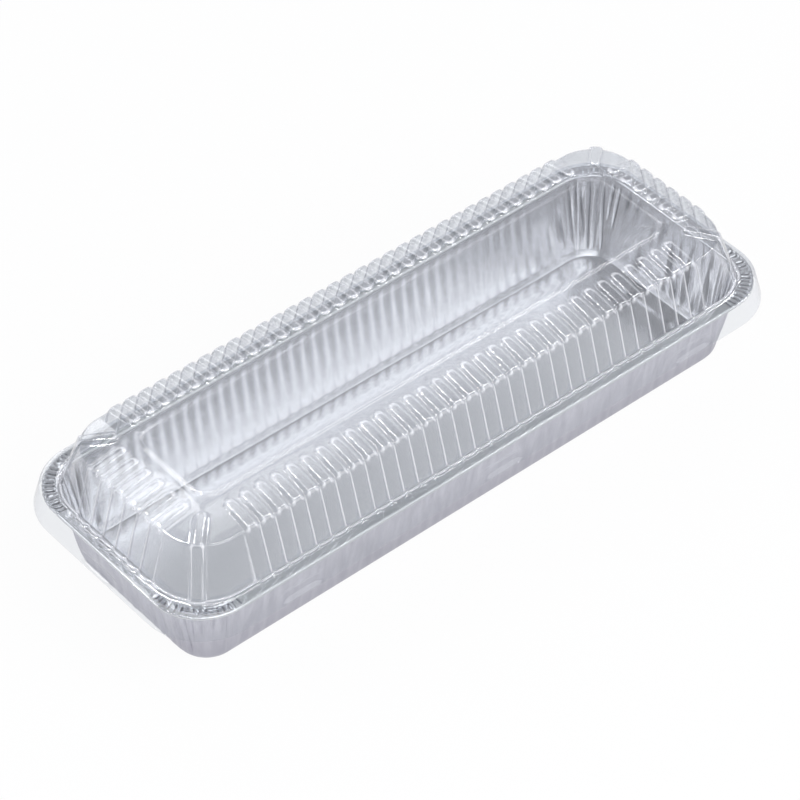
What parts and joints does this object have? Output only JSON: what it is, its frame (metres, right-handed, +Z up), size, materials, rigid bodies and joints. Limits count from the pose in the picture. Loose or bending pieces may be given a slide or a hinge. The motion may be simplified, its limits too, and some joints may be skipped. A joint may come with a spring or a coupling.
{
  "type": "foil tray",
  "caption": "Long shallow foil baking tray with fluted walls and a rolled rim, under a clear ribbed dome lid whose skirt snaps over the rim.",
  "frame": {"origin": "middle of the tray's underside, on the surface that it stands on", "axes": "+X along the tray, +Z up; a long side faces -Y"},
  "size_m": [0.321, 0.12, 0.0663],
  "materials": {
    "foil": "bright rolled aluminium foil, pressed",
    "clear_sheet": "clear thermoformed plastic sheet, glossy"
  },
  "bodies": {
    "tray": {"foil_tray": "foil"},
    "lid": {"clear_lid": "clear_sheet"}
  },
  "joints": [
    {"name": "lid_lift", "type": "slide", "parent": "tray", "child": "lid", "axis": [0, 0, 1], "range_m": [0, 0.08]}
  ]
}
